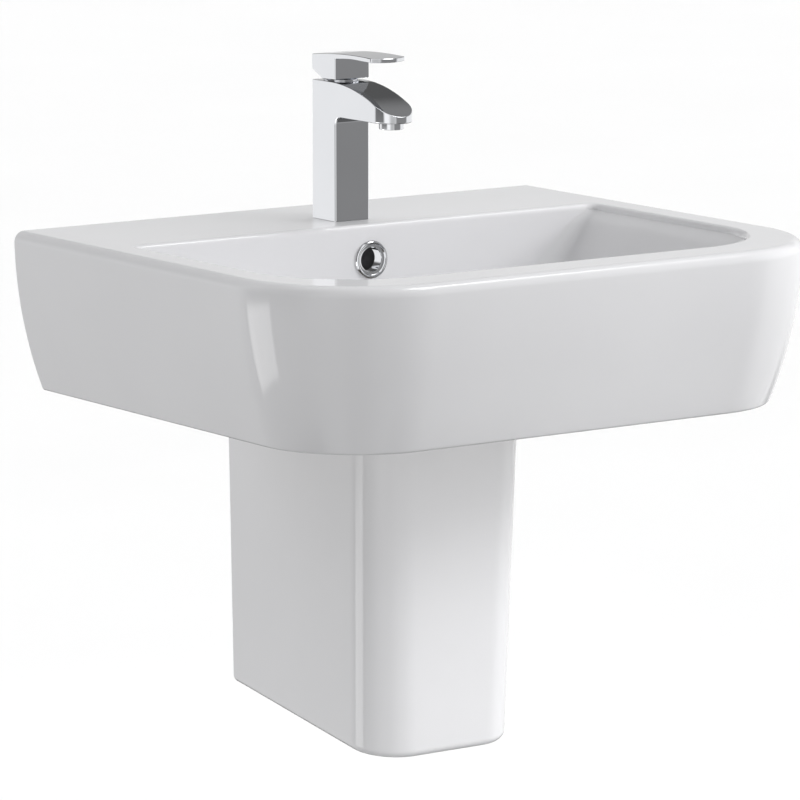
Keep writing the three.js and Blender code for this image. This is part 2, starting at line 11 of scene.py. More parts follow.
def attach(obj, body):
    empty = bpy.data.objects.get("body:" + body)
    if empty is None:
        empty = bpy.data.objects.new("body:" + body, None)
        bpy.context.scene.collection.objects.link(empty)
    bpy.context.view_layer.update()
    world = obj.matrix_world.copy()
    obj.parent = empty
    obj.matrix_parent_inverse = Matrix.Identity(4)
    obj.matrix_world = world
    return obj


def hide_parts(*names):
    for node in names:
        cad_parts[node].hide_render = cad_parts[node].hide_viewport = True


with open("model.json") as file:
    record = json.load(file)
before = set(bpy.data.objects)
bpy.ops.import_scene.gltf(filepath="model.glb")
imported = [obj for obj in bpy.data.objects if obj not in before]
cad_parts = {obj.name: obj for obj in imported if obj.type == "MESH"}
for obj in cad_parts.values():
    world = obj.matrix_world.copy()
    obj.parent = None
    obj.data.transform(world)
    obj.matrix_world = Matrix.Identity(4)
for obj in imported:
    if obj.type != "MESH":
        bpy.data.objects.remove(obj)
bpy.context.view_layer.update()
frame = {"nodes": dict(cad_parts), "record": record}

# ---- dimensions, in millimetres

MM = 0.001
RIM = 66.0  # the rim's height above the wall bolts, where the origin is
GAP = 0.3  # between pieces that rest on each other
TURN = 2 * math.pi
QUARTER = math.pi / 2

BASIN_HALF = 260.0
BASIN_DEPTH = 435.0
BASIN_HEIGHT = 132.0
BASIN_CORNER = 110.0
BASIN_EDGE = 9.0
BASIN_FOOT = 2.0  # the radius of the outer bottom edge
FLANK_R = 350.0  # the radius of the walls' curve
SHELL = 12.0
DECK = 14.0
BACK_PLATE = 16.0
BOLT_X = 140.0

BOWL_HALF = 231.0
BOWL_BACK = -124.0
BOWL_FRONT = -394.0
BOWL_DEPTH = 100.0
BOWL_EDGE = 5.0
BOWL_SKIN = 10.0
BOWL_CORNER = 87.0  # the front corners' radius at the rim, and what it loses by the floor
BOWL_CORNER_LOSS = 22.0
BOWL_BACK_CORNER = 8.0  # the back corners' radius, and what it gains
BOWL_BACK_CORNER_GAIN = 24.0
SIDE_SLOPE = 0.93  # how far the walls come in for each millimetre down
FRONT_SLOPE = 0.42
SIDE_TURN = 38.0  # how far they would come in by turning fully into the floor
BACK_TURN = 18.0
FRONT_TURN = 34.0
FLOOR_TURN = 0.9  # the share of that turn they make
FLOOR_FALL = 2.0  # how far the bowl's floor falls to the waste

OVERFLOW_H = 29.0
CHANNEL_HALF = 17.0  # half the width of the overflow's channel
CHANNEL_FRONT = -119.0
CHANNEL_BACK = -111.5
CHANNEL_DEPTH = 119.0  # its floor under the rim, and the roof of its run to the waste
RUN_DEPTH = 112.0
HOUSING_HALF = 25.0  # the ceramic round the channel
HOUSING_BACK = -104.0
HOUSING_DEPTH = 127.0

WASTE_Y = -190.0
WASTE_RECESS = 34.0
BOSS_R = 40.0
BOSS_H = 130.0

PEDESTAL_BOTTOM = -332.0
PEDESTAL_TOP = RIM - 113.0
PEDESTAL_FALL = 0.085  # how far the bottom falls for each millimetre from the wall
PEDESTAL_CORNER = 37.0
PEDESTAL_EDGE = 7.0
PEDESTAL_WALL = 10.0
PEDESTAL_BOLT_X = 36.0
PEDESTAL_BOLT_Z = -95.0

TAP_Y = -86.0
TAP_HALF = 16.7
SPOUT_REACH = 72.0  # from the tap's axis to the aerator's
SPOUT_UNDER = 86.0  # heights above the rim
SPOUT_TOP = 114.2
SPOUT_FLAT = 8.0  # the reach at which the spout's top starts to fall, and the radius it falls by
SPOUT_CROWN_R = 155.0
SCREW_H = 128.4
TAIL_X = 5.6  # where the copper tails enter the tap
TAIL_Y = TAP_Y - 3.5

TRAP_AXIS = -116.0  # the outlet's height, from the bowl's floor
VALVE_X = 25.0
VALVE_Z = -245.0
VALVE_REACH = 28.0  # from the wall to the outlet's axis


# ---- mesh helpers


def make(name, points, faces, materials, index=0):
    """A mesh object from points in millimetres; every face takes the material at index."""
    mesh = bpy.data.meshes.new(name)
    mesh.from_pydata([tuple(MM * c for c in p) for p in points], [], faces)
    mesh.validate()
    obj = bpy.data.objects.new(name, mesh)
    bpy.context.scene.collection.objects.link(obj)
    for material in materials:
        mesh.materials.append(material)
    for face in mesh.polygons:
        face.material_index = index
    face_outwards(mesh)
    return obj


def face_outwards(mesh):
    """Turns a closed mesh right side out."""
    form = bmesh.new()
    form.from_mesh(mesh)
    if form.calc_volume(signed=True) < 0:
        bmesh.ops.reverse_faces(form, faces=form.faces)
        form.to_mesh(mesh)
    form.free()


def loft(name, rings, materials, index=0):
    """A closed solid through rings of equally many (x, y, z) points, from the lowest to the highest."""
    count = len(rings[0])
    points = [p for ring in rings for p in ring]
    faces = [tuple(reversed(range(count)))]
    for k in range(len(rings) - 1):
        for i in range(count):
            a = k * count + i
            b = k * count + (i + 1) % count
            faces.append((a, b, b + count, a + count))
    last = (len(rings) - 1) * count
    faces.append(tuple(range(last, last + count)))
    return make(name, points, faces, materials, index)


def lathe(name, profile, materials=(), segments=72, closed=False):
    """A solid of revolution about Z from (radius, z) points.

    The profile starts and ends on the axis, or closes on itself."""
    angles = [TURN * i / segments for i in range(segments)]
    points = []
    rows = []
    for r, z in profile:
        if r == 0:
            rows.append([len(points)] * segments)
            points.append((0, 0, z))
            continue
        rows.append([len(points) + i for i in range(segments)])
        points += [(r * math.cos(a), r * math.sin(a), z) for a in angles]
    if closed:
        rows.append(rows[0])
    faces = []
    for low, high in zip(rows, rows[1:]):
        for i in range(segments):
            j = (i + 1) % segments
            ring = [low[i], low[j], high[j], high[i]]
            faces.append(tuple(dict.fromkeys(ring)))
    faces = [f for f in faces if len(f) > 2]
    return make(name, points, faces, materials)


def prism(name, outline, z0, z1, materials=(), index=0):
    """A plan outline of (x, y) points between two heights."""
    return loft(name, [[(x, y, z) for x, y in outline] for z in (z0, z1)], materials, index)


def slab(name, outline, half, materials):
    """A side outline of (reach, z) points in front of the tap's axis, made half wide each way in X."""
    rings = [[(x, TAP_Y - reach, RIM + z) for reach, z in outline] for x in (-half, half)]
    return loft(name, rings, materials)


def block(name, x, y, z, materials=(), index=0):
    """A box between two values of x, of y and of z."""
    outline = [(x[0], y[0]), (x[1], y[0]), (x[1], y[1]), (x[0], y[1])]
    return prism(name, outline, z[0], z[1], materials, index)


def rod(name, r, z0, z1, at=(0, 0), materials=(), segments=48, index=0):
    """An upright cylinder at a place in plan."""
    outline = [(at[0] + x, at[1] + y) for x, y in arc(0, 0, r, 0, TURN, segments)[:-1]]
    return prism(name, outline, z0, z1, materials, index)


def rod_along_y(name, r, x, z, y0, y1, materials=(), segments=48, index=0):
    """A level cylinder that runs from front to back."""
    rings = [[(x + a, y, z - b) for a, b in arc(0, 0, r, 0, TURN, segments)[:-1]] for y in (y0, y1)]
    return loft(name, rings, materials, index)


def arc(cx, cy, r, start, end, steps):
    """Points on an arc, both ends included."""
    angles = [start + (end - start) * i / steps for i in range(steps + 1)]
    return [(cx + r * math.cos(a), cy + r * math.sin(a)) for a in angles]


def plan(back_half, front_half, back, front, front_r, steps, back_r=0.0):
    """A counter-clockwise plan outline, symmetric about x = 0, straight at the back, corners rounded."""
    cx, cy = front_r - front_half, front + front_r
    away = math.hypot(cx + back_half, cy - back)
    lean = math.asin(front_r / away) - math.atan2(cx + back_half, back - cy)
    if back_r:
        corner = arc(back_r - back_half, back - back_r, back_r, QUARTER, math.pi, steps // 2)
    else:
        corner = [(-back_half, back)]
    left = corner + arc(cx, cy, front_r, math.pi - lean, 3 * QUARTER, steps)
    return left + [(-x, y) for x, y in reversed(left)]


def level(outline, z):
    """A plan outline laid at a height."""
    return [(x, y, z) for x, y in outline]


def combine(obj, operation, *tools):
    """Cuts, joins or intersects obj with each tool, and removes the tools."""
    for tool in tools:
        modifier = obj.modifiers.new("combine", "BOOLEAN")
        modifier.operation = operation
        modifier.object = tool
        modifier.solver = "MANIFOLD"
        keep_modified(obj)
        mesh = tool.data
        bpy.data.objects.remove(tool)
        bpy.data.meshes.remove(mesh)
    return obj


def keep_modified(obj):
    """Makes what the modifiers give the object's own mesh."""
    graph = bpy.context.evaluated_depsgraph_get()
    mesh = bpy.data.meshes.new_from_object(obj.evaluated_get(graph))
    old = obj.data
    name = old.name
    obj.modifiers.clear()
    obj.data = mesh
    bpy.data.meshes.remove(old)
    mesh.name = name


def bevel(obj, width, segments, chosen=None):
    """Rounds the sharp edges, or only those whose two ends the test accepts."""
    same_place = 0.002 * MM
    flat = math.radians(0.5)
    sharp = math.radians(35)
    form = bmesh.new()
    form.from_mesh(obj.data)
    bmesh.ops.remove_doubles(form, verts=form.verts, dist=same_place)
    bmesh.ops.dissolve_limit(form, angle_limit=flat, verts=form.verts, edges=form.edges)
    edges = [e for e in form.edges if len(e.link_faces) == 2 and e.calc_face_angle(0) > sharp]
    if chosen:
        edges = [e for e in edges if chosen(e.verts[0].co, e.verts[1].co)]
    bmesh.ops.bevel(form, geom=edges, offset=width * MM, segments=segments, profile=0.5, affect="EDGES")
    form.to_mesh(obj.data)
    form.free()


def smooth_group():
    """A geometry node group that shades smooth, except across edges sharper than its angle."""
    group = bpy.data.node_groups.new("smooth_by_angle", "GeometryNodeTree")
    group.interface.new_socket("Geometry", in_out="INPUT", socket_type="NodeSocketGeometry")
    group.interface.new_socket("Geometry", in_out="OUTPUT", socket_type="NodeSocketGeometry")
    start = group.nodes.new("NodeGroupInput")
    end = group.nodes.new("NodeGroupOutput")
    faces = group.nodes.new("GeometryNodeSetShadeSmooth")
    edges = group.nodes.new("GeometryNodeSetShadeSmooth")
    edges.domain = "EDGE"
    edges.inputs["Shade Smooth"].default_value = False
    angle = group.nodes.new("GeometryNodeInputMeshEdgeAngle")
    sharp = group.nodes.new("FunctionNodeCompare")
    sharp.operation = "GREATER_THAN"
    sharp.inputs["B"].default_value = math.radians(28)
    group.links.new(start.outputs[0], faces.inputs["Geometry"])
    group.links.new(faces.outputs[0], edges.inputs["Geometry"])
    group.links.new(angle.outputs["Unsigned Angle"], sharp.inputs["A"])
    group.links.new(sharp.outputs["Result"], edges.inputs["Selection"])
    group.links.new(edges.outputs[0], end.inputs[0])
    return group


SMOOTH = smooth_group()


def smooth(obj, weighted=True):
    """Shades round faces smooth; weighted normals keep flat ones flat."""
    shade = obj.modifiers.new("smooth", "NODES")
    shade.node_group = SMOOTH
    if weighted:
        normals = obj.modifiers.new("normals", "WEIGHTED_NORMAL")
        normals.keep_sharp = True


def on_wall(obj, x, y, z):
    """Turns a piece made along Z so that it points out from the wall at (x, y, z)."""
    obj.data.transform(Matrix.Rotation(QUARTER, 4, "X"))
    obj.data.transform(Matrix.Translation(Vector((x, y, z)) * MM))
    return obj


def lift(obj, x, y, z):
    """Moves a piece's mesh by x, y and z."""
    obj.data.transform(Matrix.Translation(Vector((x, y, z)) * MM))
    return obj


def finish_piece(obj, body, slot, *nodes):
    """Rides the piece on its body, and lets it stand for its CAD nodes."""
    smooth(obj)
    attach(obj, body)
    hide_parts(*nodes)
    return obj


# ---- materials


def node(tree, kind, inputs=None, **settings):
    """Adds a shader node, with its settings and its input values or links."""
    made = tree.nodes.new("ShaderNode" + kind)
    for name, value in settings.items():
        setattr(made, name, value)
    for name, value in (inputs or {}).items():
        if isinstance(value, bpy.types.NodeSocket):
            tree.links.new(value, made.inputs[name])
        else:
            made.inputs[name].default_value = value
    return made


def noise(tree, scale, detail):
    """A noise that is fixed to the piece, with its scale per metre."""
    where = node(tree, "TexCoord").outputs["Object"]
    made = node(tree, "TexNoise", {"Vector": where, "Scale": scale, "Detail": detail})
    return made.outputs["Fac"]


def between(tree, value, low, high):
    """Spreads a noise value over low to high."""
    inputs = {"Value": value, "From Min": 0.3, "From Max": 0.7, "To Min": low, "To Max": high}
    return node(tree, "MapRange", inputs).outputs["Result"]


def material(name, dark, light, rough, scale, bump, metal=0.0, grain=None):
    """A surface whose colour and roughness drift with noises and whose relief is a finer one.

    rough holds the ends of its roughness, and bump the relief's strength and height."""
    made = bpy.data.materials.new(name)
    made.use_nodes = True
    tree = made.node_tree
    shader = tree.nodes["Principled BSDF"]
    drift = between(tree, noise(tree, scale, 3.0), 0.0, 1.0)
    ends = {"Factor": drift, "A": (*dark, 1), "B": (*light, 1)}
    color = node(tree, "Mix", ends, data_type="RGBA").outputs["Result"]
    tree.links.new(color, shader.inputs["Base Color"])
    tree.links.new(between(tree, noise(tree, scale * 2.3, 4.0), *rough), shader.inputs["Roughness"])
    shader.inputs["Metallic"].default_value = metal
    strength, height = bump
    fine = noise(tree, grain or scale * 8, 2.0)
    relief = node(tree, "Bump", {"Height": fine, "Strength": strength, "Distance": height * MM})
    tree.links.new(relief.outputs[0], shader.inputs["Normal"])
    return made


def glaze():
    dark, light = (0.765, 0.765, 0.78), (0.785, 0.785, 0.80)
    return material("glaze", dark, light, (0.015, 0.045), 9, (0.06, 0.2), grain=14)


def biscuit():
    dark, light = (0.70, 0.68, 0.64), (0.74, 0.72, 0.68)
    return material("biscuit", dark, light, (0.75, 0.9), 110, (0.4, 0.15), grain=1400)


# Painted shade: the overflow way's inside is made near-black to stand in for the shade in its hole.
def painted_shade_biscuit():
    dark, light = (0.035, 0.035, 0.04), (0.08, 0.08, 0.09)
    return material("painted_shade_biscuit", dark, light, (0.4, 0.7), 140, (0.4, 0.2))


def chrome():
    dark, light = (0.765, 0.775, 0.80), (0.785, 0.795, 0.82)
    return material("chrome", dark, light, (0.04, 0.06), 20, (0.02, 0.02), metal=1.0, grain=60)


def brass():
    dark, light = (0.60, 0.42, 0.18), (0.72, 0.54, 0.26)
    return material("brass", dark, light, (0.22, 0.4), 60, (0.2, 0.05), metal=1.0)


def steel():
    dark, light = (0.50, 0.51, 0.52), (0.62, 0.63, 0.64)
    return material("steel", dark, light, (0.25, 0.45), 90, (0.2, 0.05), metal=1.0)


def copper():
    dark, light = (0.58, 0.27, 0.16), (0.76, 0.42, 0.28)
    return material("copper", dark, light, (0.2, 0.4), 35, (0.2, 0.05), metal=1.0)


def rubber():
    dark, light = (0.012, 0.012, 0.013), (0.03, 0.03, 0.03)
    return material("rubber", dark, light, (0.6, 0.85), 120, (0.4, 0.05))


def white_plastic():
    dark, light = (0.72, 0.72, 0.71), (0.8, 0.8, 0.79)
    return material("white_plastic", dark, light, (0.35, 0.5), 80, (0.2, 0.03))


def grey_plastic():
    dark, light = (0.25, 0.26, 0.28), (0.32, 0.33, 0.35)
    return material("grey_plastic", dark, light, (0.35, 0.5), 80, (0.2, 0.03))


GLAZE = glaze()
BISCUIT = biscuit()
WAY_SHADE = painted_shade_biscuit()
CHROME = chrome()
COPPER = copper()

SLOTS = {
    "ceramic": GLAZE,
    "chrome": CHROME,
    "brass": brass(),
    "steel": steel(),
    "copper": COPPER,
    "rubber": rubber(),
    "white_plastic": white_plastic(),
    "grey_plastic": grey_plastic(),
}
CERAMIC = (GLAZE, BISCUIT, WAY_SHADE)
RAW = 1  # the unglazed material's place in CERAMIC
WAY = 2  # the place of the overflow way's painted shade, a near-black biscuit inside it


# ---- basin


def flank_inset(h):
    """How far the bulging walls have come in at depth h."""
    return FLANK_R - math.sqrt(FLANK_R**2 - h**2)


def basin_outline(h, inset, back=0.0):
    """The basin's outline at depth h under the rim."""
    all_in = flank_inset(h) + inset
    half = BASIN_HALF - all_in
    return plan(half, half, back, all_in - BASIN_DEPTH, BASIN_CORNER - all_in, 32)


def basin_outside():
    """The basin's outside, from its foot up its walls and over the rim's rounded edge."""
    straight = BASIN_HEIGHT - BASIN_FOOT
    rings = []
    for share in (1, 0.75, 0.5, 0.25, 0):
        angle = QUARTER * share
        rings.append((straight + BASIN_FOOT * math.sin(angle), BASIN_FOOT * (1 - math.cos(angle))))
    steps = 26
    for i in reversed(range(steps)):
        rings.append((BASIN_EDGE + (straight - BASIN_EDGE) * i / steps, 0))
    for i in range(1, 13):
        angle = QUARTER * i / 12
        rings.append((BASIN_EDGE * (1 - math.sin(angle)), BASIN_EDGE * (1 - math.cos(angle))))
    made = loft("basin", [level(basin_outline(h, inset), RIM - h) for h, inset in rings], CERAMIC)
    for face in made.data.polygons:
        if face.normal.y > 0.99:
            face.material_index = RAW
    return made


def bowl_outline(h, skin=0.0, turn_in=0.0):
    """The bowl's outline at depth h, made larger by skin, with its walls' turn into the floor."""
    share = min(1.0, h / BOWL_DEPTH)
    half = BOWL_HALF - BOWL_EDGE - SIDE_SLOPE * h - SIDE_TURN * turn_in + skin
    return plan(
        half,
        half,
        BOWL_BACK - BOWL_EDGE - BACK_TURN * turn_in + skin,
        BOWL_FRONT + BOWL_EDGE + FRONT_SLOPE * h + FRONT_TURN * turn_in - skin,
        BOWL_CORNER - BOWL_CORNER_LOSS * share + skin,
        28,
        BOWL_BACK_CORNER + BOWL_BACK_CORNER_GAIN * share + skin * 0.5,
    )


def turn_in_at(h):
    """How far the walls have turned into the floor at depth h."""
    share = min(1.0, h / BOWL_DEPTH)
    return FLOOR_TURN * (1 - math.sqrt(max(0.0, 1 - share**8)))


def floor_rings():
    """The bowl's floor, from the waste's recess out and up its fall."""
    edge = bowl_outline(BOWL_DEPTH, turn_in=FLOOR_TURN)
    rings = []
    for share in (0.0, 0.2, 0.4, 0.6, 0.8):
        depth = BOWL_DEPTH - FLOOR_FALL * share
        ring = []
        for x, y in edge:
            away = math.hypot(x, y - WASTE_Y)
            r = WASTE_RECESS + (away - WASTE_RECESS) * share
            ring.append((x * r / away, WASTE_Y + (y - WASTE_Y) * r / away, RIM - depth))
        rings.append(ring)
    return rings


def wall_rings():
    """The bowl's walls, from their turn out of the floor up to the rim's inner edge."""
    first_bend = 0.08
    steps = 18
    rings = []
    for i in range(steps, -1, -1):
        bend = QUARTER * (first_bend + (1 - first_bend) * i / steps)
        share = math.sin(bend) ** 0.25
        h = share * BOWL_DEPTH
        outline = bowl_outline(h, turn_in=FLOOR_TURN * (1 - math.cos(bend)))
        rings.append(level(outline, RIM - h + FLOOR_FALL * share**8))
    turn_top = math.sin(QUARTER * first_bend) ** 0.25 * BOWL_DEPTH
    for i in range(9, 0, -1):
        h = BOWL_EDGE + (turn_top - BOWL_EDGE) * i / 10
        outline = bowl_outline(h, turn_in=turn_in_at(h))
        rings.append(level(outline, RIM - h + FLOOR_FALL * (h / BOWL_DEPTH) ** 8))
    return rings


def bowl_inside():
    """The bowl's hollow, from the waste's recess up its walls to just above the rim."""
    rings = floor_rings() + wall_rings()
    for i in range(9):
        angle = QUARTER * i / 8
        out = BOWL_EDGE * (1 - math.cos(angle))
        rings.append(level(bowl_outline(0, skin=out), RIM - BOWL_EDGE * (1 - math.sin(angle))))
    rings.append(level(bowl_outline(0, skin=BOWL_EDGE), RIM + 1))
    return loft("bowl", rings, CERAMIC)


def bowl_outside():
    """The bowl's underside, seen from below."""
    rings = []
    for h in (BOWL_DEPTH + BOWL_SKIN, 104, 100, 95, 90, 80, 65, 50, 35, 20, DECK - 2):
        inner = h - BOWL_SKIN * h / BOWL_DEPTH
        rings.append(level(bowl_outline(inner, BOWL_SKIN, turn_in_at(inner)), RIM - h))
    return loft("bowl_skin", rings, CERAMIC, RAW)


def basin_underside():
    """The hollow inside the basin's shell, around the bowl, the overflow's housing and the boss."""
    depths = [BASIN_HEIGHT + 1] + [BASIN_HEIGHT - 12 * i for i in range(10)] + [DECK]
    rings = [level(basin_outline(h, SHELL, -BACK_PLATE), RIM - h) for h in depths]
    hollow = loft("hollow", rings, CERAMIC, RAW)
    x = (-HOUSING_HALF, HOUSING_HALF)
    bottom = RIM - HOUSING_DEPTH
    housing_y = (BOWL_BACK - 12, HOUSING_BACK)
    housing = block("housing", x, housing_y, (bottom, RIM - DECK + 2), CERAMIC, RAW)
    way = block("way", x, (WASTE_Y, HOUSING_BACK), (bottom, RIM - BOWL_DEPTH), CERAMIC, RAW)
    boss = rod("boss", BOSS_R, RIM - BOSS_H, RIM - BOWL_DEPTH, (0, WASTE_Y), CERAMIC, 64, RAW)
    return combine(hollow, "DIFFERENCE", bowl_outside(), housing, way, boss)


def overflow_way():
    """The overflow's inlet in the bowl's back wall, its channel down, and its run to the waste."""
    x = (-CHANNEL_HALF, CHANNEL_HALF)
    bottom = RIM - CHANNEL_DEPTH
    inlet_y = (BOWL_BACK - 12, CHANNEL_BACK - 3)
    return [
        # Their faces take the painted shade that stands in for the dark inside the hole.
        rod_along_y("inlet", 12, 0, RIM - OVERFLOW_H, *inlet_y, CERAMIC, index=WAY),
        block("drop", x, (CHANNEL_FRONT, CHANNEL_BACK), (bottom, RIM - 17), CERAMIC, WAY),
        block("run", x, (WASTE_Y, CHANNEL_BACK), (bottom, RIM - RUN_DEPTH), CERAMIC, WAY),
    ]


def basin_holes():
    """The holes for the waste, the tap and the two wall bolts."""
    floor_z = RIM - BOWL_DEPTH
    waste_at = (0, WASTE_Y)
    holes = [
        rod("waste_hole", 23, RIM - BOSS_H - 1, floor_z + 1, waste_at, CERAMIC, 64),
        rod("waste_recess", WASTE_RECESS, floor_z - 5, floor_z + 1, waste_at, CERAMIC, 96),
        rod("tap_hole", 14, RIM - DECK - 1, RIM + 1, (0, TAP_Y), CERAMIC, 64),
    ]
    for x in (-BOLT_X, BOLT_X):
        holes.append(rod_along_y("bolt_hole", 7, x, 0, -BACK_PLATE - 1, 1, CERAMIC, 40, RAW))
    return holes


def basin():
    """The basin, one casting. As in the photograph, the tap doesn't mirror it."""
    tools = [bowl_inside(), basin_underside(), *overflow_way(), *basin_holes()]
    made = combine(basin_outside(), "DIFFERENCE", *tools)
    made.visible_glossy = False
    return finish_piece(made, "sink", "ceramic", "basin")


# ---- pedestal


def pedestal_ring(z, inset, back, fall=0.0):
    """The pedestal's outline at height z, widening upwards; fall tilts it down towards the front."""
    share = (z - PEDESTAL_BOTTOM) / (PEDESTAL_TOP - PEDESTAL_BOTTOM)
    back_half = 51 + 5 * share - inset
    front_half = 71 + 7 * share - inset
    front = inset - 242 - 10 * share
    outline = plan(back_half, front_half, back, front, PEDESTAL_CORNER - inset, 28)
    return [(x, y, z + fall * y) for x, y in outline]


def pedestal_outside():
    """The pedestal's outside, from its rounded bottom edge to its level top."""
    rings = []
    for i in range(9):
        angle = QUARTER * i / 8
        z = PEDESTAL_BOTTOM + PEDESTAL_EDGE * (1 - math.cos(angle))
        rings.append(pedestal_ring(z, PEDESTAL_EDGE * (1 - math.sin(angle)), 0, PEDESTAL_FALL))
    steps = 14
    start = PEDESTAL_BOTTOM + PEDESTAL_EDGE
    for i in range(1, steps + 1):
        z = start + (PEDESTAL_TOP - start) * i / steps
        rings.append(pedestal_ring(z, 0, 0, PEDESTAL_FALL * max(0.0, 1 - i / steps)))
    made = loft("semi_pedestal", rings, CERAMIC)
    for face in made.data.polygons:
        if face.normal.y > 0.99 or face.normal.z > 0.99:
            face.material_index = RAW
    return made


def pedestal_inside():
    """The pedestal's hollow, open at the back and at the top."""
    steps = 8
    start = PEDESTAL_BOTTOM + PEDESTAL_WALL
    rings = []
    for i in range(steps + 1):
        z = start + (PEDESTAL_TOP - PEDESTAL_BOTTOM - PEDESTAL_WALL) * i / steps
        rings.append(pedestal_ring(z, PEDESTAL_WALL, 1, PEDESTAL_FALL * (1 - i / steps)))
    rings.append(pedestal_ring(PEDESTAL_TOP + 1, PEDESTAL_WALL, 1))
    return loft("inside", rings, CERAMIC, RAW)


def semi_pedestal():
    """The semi-pedestal, notched under the basin's back plate, with a bolt lug on each side wall."""
    foot = RIM - BASIN_HEIGHT
    body = pedestal_outside()
    inside = pedestal_inside()
    notch_z = (foot - GAP, PEDESTAL_TOP + 1)
    notch = block("notch", (-90, 90), (-BACK_PLATE - 1, 1), notch_z, CERAMIC, RAW)
    combine(body, "DIFFERENCE", inside, notch)
    for side in (-1, 1):
        x = sorted((side * 26, side * 47))
        lug_z = (PEDESTAL_BOLT_Z - 13, PEDESTAL_BOLT_Z + 13)
        combine(body, "UNION", block("lug", x, (-14, 0), lug_z, CERAMIC, RAW))
        bolt = (side * PEDESTAL_BOLT_X, PEDESTAL_BOLT_Z)
        combine(body, "DIFFERENCE", rod_along_y("hole", 4.6, *bolt, -20, 1, CERAMIC, 32, RAW))
    return finish_piece(body, "sink", "ceramic", "semi_pedestal")


# ---- tap


def top_of_spout(reach):
    """The spout's top: level, then an arc that falls to its nose."""
    past = max(0.0, reach - SPOUT_FLAT)
    return SPOUT_TOP - SPOUT_CROWN_R + math.sqrt(SPOUT_CROWN_R**2 - past**2)


def is_front_edge(a, b):
    """Whether an edge runs up the tap's front, round the throat or under the spout."""
    under = (RIM + SPOUT_UNDER + 0.1) * MM
    foot = (RIM + 1) * MM
    axis = TAP_Y * MM
    return max(a.z, b.z) < under and max(a.z, b.z) > foot and max(a.y, b.y) < axis


def cut_to_plan(body, front, low, high):
    """Cuts a slab seen from the side to its outline in plan: a front, and the tap's width behind it."""
    behind = [(TAP_HALF, TAP_Y + 20), (-TAP_HALF, TAP_Y + 20)]
    combine(body, "INTERSECT", prism("footprint", front + behind, RIM + low, RIM + high))


def tap_body():
    """The tap's square column and its spout, with the bores for what it carries."""
    back, front, foot, throat = -16.8, 16.7, 0.05, 7
    nose = SPOUT_REACH + TAP_HALF
    steps = 32
    crown = [nose + (SPOUT_FLAT - nose) * i / steps for i in range(steps + 1)]
    outline = [(back, foot), (front, foot)]
    outline += arc(front + throat, SPOUT_UNDER - throat, throat, math.pi, QUARTER, 12)
    outline += [(nose, SPOUT_UNDER)]
    outline += [(reach, top_of_spout(reach)) for reach in crown]
    outline += [(back, SPOUT_TOP)]
    body = slab("tap_body", outline, TAP_HALF + 1, (CHROME,))
    cut_to_plan(body, arc(0, TAP_Y - SPOUT_REACH, TAP_HALF, math.pi, TURN, 40), -1, 130)
    bevel(body, 1.4, 5, is_front_edge)
    bevel(body, 0.5, 3)
    nozzle = (0, TAP_Y - SPOUT_REACH)
    combine(
        body,
        "DIFFERENCE",
        rod("seat", 14, RIM + 101, RIM + 116, (0, TAP_Y), segments=72),
        rod("bore", 12.8, RIM + 74, RIM + 114, (0, TAP_Y), segments=72),
        rod("stud_hole", 4.3, RIM - 1, RIM + 14, (0, TAP_Y + 7.5)),
        rod("tail_hole", 5.5, RIM - 1, RIM + 14, (-TAIL_X, TAIL_Y)),
        rod("tail_hole", 5.5, RIM - 1, RIM + 14, (TAIL_X, TAIL_Y)),
        rod("aerator_hole", 10.15, RIM + SPOUT_UNDER - 1, RIM + 94, nozzle, segments=72),
    )
    return finish_piece(body, "sink", "chrome", "tap_body")


def lever_outline():
    """The lever from the side: a bevelled foot, a plate with a curved underside, and a crowned top."""
    back, front, tip, plate = -17.3, 16.5, 72.7, 133.4
    curve_end, curve_rise, curve_steps = 45, 1.5, 8
    crown_r, crown_reach, crown_h, crown_steps = 512, 42, 138.4, 40
    outline = [(back, 123.1), (-2.3, 115.8), (front, 116.4), (front, plate)]
    for i in range(1, curve_steps + 1):
        reach = front + (curve_end - front) * i / curve_steps
        outline.append((reach, plate + curve_rise * math.sin(QUARTER * i / curve_steps)))
    outline.append((tip, 134.1))
    for i in range(crown_steps + 1):
        reach = tip + (back - tip) * i / crown_steps
        outline.append((reach, crown_h - (reach - crown_reach) ** 2 / (2 * crown_r)))
    return outline


def tap_lever():
    """The lever, its front edge bowed, with a socket for the stem and a way for its screw."""
    tip, bow = 72.7, 6
    body = slab("tap_lever", lever_outline(), TAP_HALF + 1, (CHROME,))
    bow_r = (TAP_HALF**2 + bow**2) / (2 * bow)
    half_angle = math.asin(TAP_HALF / bow_r)
    start, end = -QUARTER - half_angle, -QUARTER + half_angle
    cut_to_plan(body, arc(0, TAP_Y - tip + bow_r, bow_r, start, end, 32), 100, 150)
    bevel(body, 0.7, 3)
    combine(
        body,
        "DIFFERENCE",
        rod("cavity", 15.2, RIM + 114, RIM + 121.5, (0, TAP_Y), segments=72),
        block("socket", (-4.1, 4.1), (TAP_Y - 3.1, TAP_Y + 3.1), (RIM + 120, RIM + 130.3)),
        rod_along_y("screw_way", 2.8, 0, RIM + SCREW_H, TAP_Y + 1, TAP_Y + 18),
        rod_along_y("cap_seat", 4.2, 0, RIM + SCREW_H, TAP_Y + 15.4, TAP_Y + 18),
    )
    return finish_piece(body, "lever", "chrome", "tap_lever")


def tap_collar():
    """The domed collar over the cartridge, under the lever."""
    profile = [(13.7, 112.2), (13.7, 114.5), (14.1, 114.5), (14.3, 114.7), (14.3, 115.1), (14.0, 115.5)]
    profile += [(13.4, 116.0), (12.6, 116.5), (11.4, 116.8), (10.0, 117.1), (9.0, 117.3), (8.6, 117.2)]
    profile += [(8.6, 116.5), (11.9, 115.4), (11.9, 112.2)]
    collar = lathe("tap_collar", profile, (CHROME,), closed=True)
    return finish_piece(lift(collar, 0, TAP_Y, RIM), "sink", "chrome", "tap_collar")


